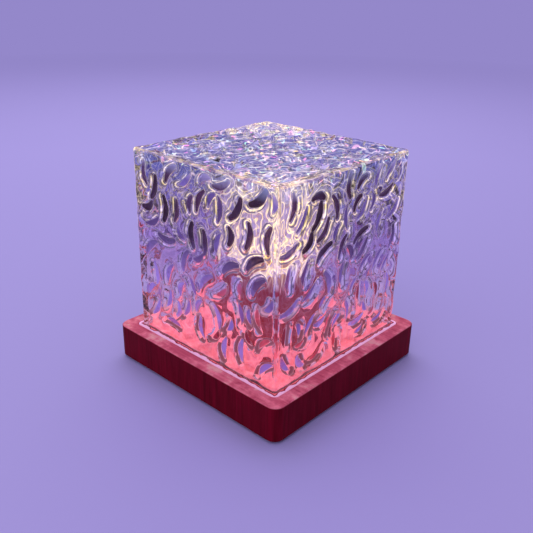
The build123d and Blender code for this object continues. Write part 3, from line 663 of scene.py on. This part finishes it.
# Lamps: four chips of red, green, blue and white light, soldered to the white board under the turning lens.
# Ceramic lamp chip: a white square with a round window that shines in its colour.
window_radius = 1.9 * mm
window_edge = 0.2 * mm
for colour, code in (("red", "#FF5A46"), ("green", "#58E878"), ("blue", "#5C74FF"), ("white", "#FFF0CF")):
    chip_low, chip_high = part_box(f"led_{colour}")
    lamp_chip, tree = start_material(f"ceramic chip with a {colour} lamp")
    place = node(tree, "ShaderNodeTexCoord").outputs["Object"]
    centred = node(tree, "ShaderNodeVectorMath", {
        0: place, 1: (chip_low + chip_high) / 2}, operation="SUBTRACT")
    level = node(tree, "ShaderNodeVectorMath", {0: centred, 1: (1, 1, 0)}, operation="MULTIPLY")
    out = node(tree, "ShaderNodeVectorMath", {0: level}, operation="LENGTH")
    chip_window = node(tree, "ShaderNodeMapRange", {
        "Value": out, "From Min": window_radius, "From Max": window_radius - window_edge})
    chip_colour = node(tree, "ShaderNodeMix", {
        "Factor": chip_window, "A": linear("#E4E2DC"), "B": linear(code)}, data_type="RGBA")
    shining = node(tree, "ShaderNodeBsdfPrincipled", {
        "Base Color": chip_colour, "Roughness": 0.3, "Emission Color": linear(code),
        "Emission Strength": chip_window})
    node(tree, "ShaderNodeOutputMaterial", {"Surface": shining})
    give(lamp_chip, f"led_{colour}")


# Works in the base: the frame, gears, motor, boards, headers and leads. They are moulded, drawn or soldered
# parts that show only when the bottom plate is off. Their grain is drawn coarser than it is so that it shows.
grain_flatness = 12


def plain_finish(name, dark, light, roughness, grain_size, metallic=0.0):
    """A finish whose colour and surface vary a little with its own grain."""
    finish, tree = start_material(name)
    place = node(tree, "ShaderNodeTexCoord").outputs["Object"]
    grain = node(tree, "ShaderNodeTexNoise", {"Vector": place, "Scale": 1 / grain_size, "Detail": 3.0})
    colour = node(tree, "ShaderNodeValToRGB", {"Fac": grain}, [(0.3, dark), (0.7, light)])
    bump = node(tree, "ShaderNodeBump", {
        "Strength": 0.12, "Distance": grain_size / grain_flatness, "Height": grain})
    shader = node(tree, "ShaderNodeBsdfPrincipled", {
        "Base Color": colour, "Roughness": roughness, "Metallic": metallic, "Normal": bump})
    node(tree, "ShaderNodeOutputMaterial", {"Surface": shader})
    return finish


# Moulded nylon and acetal: off-white, the frame duller than the gears.
give(plain_finish("white moulded nylon", "#CFCDC6", "#DEDCD6", 0.55, 0.6 * mm), "engine_frame")
give(plain_finish("moulded acetal", "#DAD6CA", "#E8E4DA", 0.35, 0.6 * mm), "lens_gear", "pinion_gear")
# Solder mask: smooth lacquer over the board's weave, white for the lamps and green for the controls.
give(plain_finish("white solder mask", "#DDDDDC", "#ECECEB", 0.4, 0.7 * mm), "led_board")
give(plain_finish("green solder mask", "#0E3D20", "#14502B", 0.35, 0.7 * mm), "control_board")
# Drawn metal: a soft grey gloss that varies a little.
give(plain_finish("drawn aluminium", "#B9BBBE", "#D2D4D6", 0.35, 0.4 * mm, 1.0),
     "heat_sink", "smoothing_capacitor")
give(plain_finish("drawn steel", "#9A9B9D", "#B9BABC", 0.32, 0.4 * mm, 1.0),
     "motor_can", "motor_shaft", "usb_shell")
# Epoxy, nylon and vinyl of the small parts: black, cream and grey, all dull.
give(plain_finish("black moulded epoxy", "#0C0C0D", "#171718", 0.5, 0.5 * mm),
     "usb_tongue", "switch_body", "switch_plunger", "driver_chip", "choke_coil")
give(plain_finish("natural moulded nylon", "#D6CFBB", "#E4DECC", 0.5, 0.5 * mm), "led_header", "motor_header")
give(plain_finish("grey vinyl lead", "#B4B4B4", "#C9C9C9", 0.5, 0.5 * mm), "led_lead", "motor_lead")


# Underside and rear: a black bottom plate with air slots, screwed on under its four bonded rubber feet, and
# the round button that stands out of the rear face.
# Moulded polypropylene and rubber: nearly black, the plate with a coarse grain, the feet dead matt.
give(plain_finish("black moulded polypropylene", "#121213", "#1E1E20", 0.6, 1.0 * mm), "bottom_plate")
give(plain_finish("black rubber", "#0F0F10", "#1A1A1B", 0.85, 0.8 * mm),
     "foot_front_left", "foot_front_right", "foot_rear_left", "foot_rear_right")
# Satin button plastic: black with a soft sheen where a finger polishes it.
give(plain_finish("black satin button plastic", "#161617", "#222224", 0.4, 0.5 * mm), "power_button")


# Floor and light: a plain pale lavender floor that fades into the backdrop well away from the object, two
# soft lamps and an even pale surround.
def seen_rays(tree):
    """1 for the rays that bring the backdrop into view: straight, mirrored or through glass."""
    path = node(tree, "ShaderNodeLightPath").outputs
    mirrored = node(tree, "ShaderNodeMath", {
        0: path["Is Camera Ray"], 1: path["Is Glossy Ray"]}, operation="MAXIMUM")
    return node(tree, "ShaderNodeMath", {
        0: mirrored, 1: path["Is Transmission Ray"]}, operation="MAXIMUM")


floor_half = 14.0
fade_start = 0.5
fade_end = 1.6
backdrop_code = "#9488CA"
surround_level = 0.54
floor_mesh = bpy.data.meshes.new("floor")
floor_corners = [(-floor_half, -floor_half, 0), (floor_half, -floor_half, 0),
                 (floor_half, floor_half, 0), (-floor_half, floor_half, 0)]
floor_mesh.from_pydata(floor_corners, [], [(0, 1, 2, 3)])
floor = bpy.data.objects.new("floor", floor_mesh)
bpy.context.scene.collection.objects.link(floor)
floor_paint, tree = start_material("pale matt floor")
place = node(tree, "ShaderNodeTexCoord").outputs["Object"]
away = node(tree, "ShaderNodeVectorMath", {0: place}, operation="LENGTH")
far = node(tree, "ShaderNodeMapRange", {"Value": away, "From Min": fade_start, "From Max": fade_end})
faded = node(tree, "ShaderNodeMath", {0: far, 1: seen_rays(tree)}, operation="MULTIPLY")
matt = node(tree, "ShaderNodeBsdfPrincipled", {"Base Color": linear("#ADA0DE"), "Roughness": 0.7})
distant = node(tree, "ShaderNodeEmission", {"Color": linear(backdrop_code), "Strength": 1.0})
floor_look = node(tree, "ShaderNodeMixShader", {"Fac": faded, 1: matt, 2: distant})
node(tree, "ShaderNodeOutputMaterial", {"Surface": floor_look})
floor_mesh.materials.append(floor_paint)

surround = bpy.data.worlds.new("pale_surround")
surround.use_nodes = True
tree = surround.node_tree
tree.nodes.clear()
lighting = node(tree, "ShaderNodeBackground", {"Color": linear("#EDE8FF"), "Strength": surround_level})
backdrop = node(tree, "ShaderNodeBackground", {"Color": linear(backdrop_code), "Strength": 1.0})
surround_look = node(tree, "ShaderNodeMixShader", {"Fac": seen_rays(tree), 1: lighting, 2: backdrop})
node(tree, "ShaderNodeOutputWorld", {"Surface": surround_look})
bpy.context.scene.world = surround

lamp_aim = Vector((0, 0, 0.05))
for name, stand, size, power in (("key_lamp", Vector((-0.50, 0.40, 0.95)), 1.3, 7.5),
                                 ("fill_lamp", Vector((0.05, -1.0, 0.75)), 1.3, 3.5)):
    lamp_data = bpy.data.lights.new(name, "AREA")
    lamp_data.size = size
    lamp_data.energy = power
    lamp = bpy.data.objects.new(name, lamp_data)
    lamp.location = stand
    lamp.visible_glossy = False
    lamp.visible_transmission = False
    lamp.rotation_euler = (lamp_aim - stand).to_track_quat("-Z", "Y").to_euler()
    bpy.context.scene.collection.objects.link(lamp)


# Camera: a short tele lens, a little above the cube and turned towards its front right edge, as in the
# photograph.
camera_data = bpy.data.cameras.new("camera")
camera_data.lens = 44.65
camera_data.sensor_width = 36.0
camera_data.dof.use_dof = False
camera = bpy.data.objects.new("camera", camera_data)
eye = Vector((0.2051, -0.2268, 0.1829))
aim = Vector((-0.0012, -0.0011, 0.0506))
roll = radians(1.088)
back = (eye - aim).normalized()
right = Vector((-back.y, back.x, 0)).normalized()
up = back.cross(right)
image_right = cos(roll) * right + sin(roll) * up
image_up = cos(roll) * up - sin(roll) * right
camera.matrix_world = Matrix.Translation(eye) @ Matrix((image_right, image_up, back)).transposed().to_4x4()
bpy.context.scene.collection.objects.link(camera)
bpy.context.scene.camera = camera
bpy.context.scene.view_settings.view_transform = "Standard"
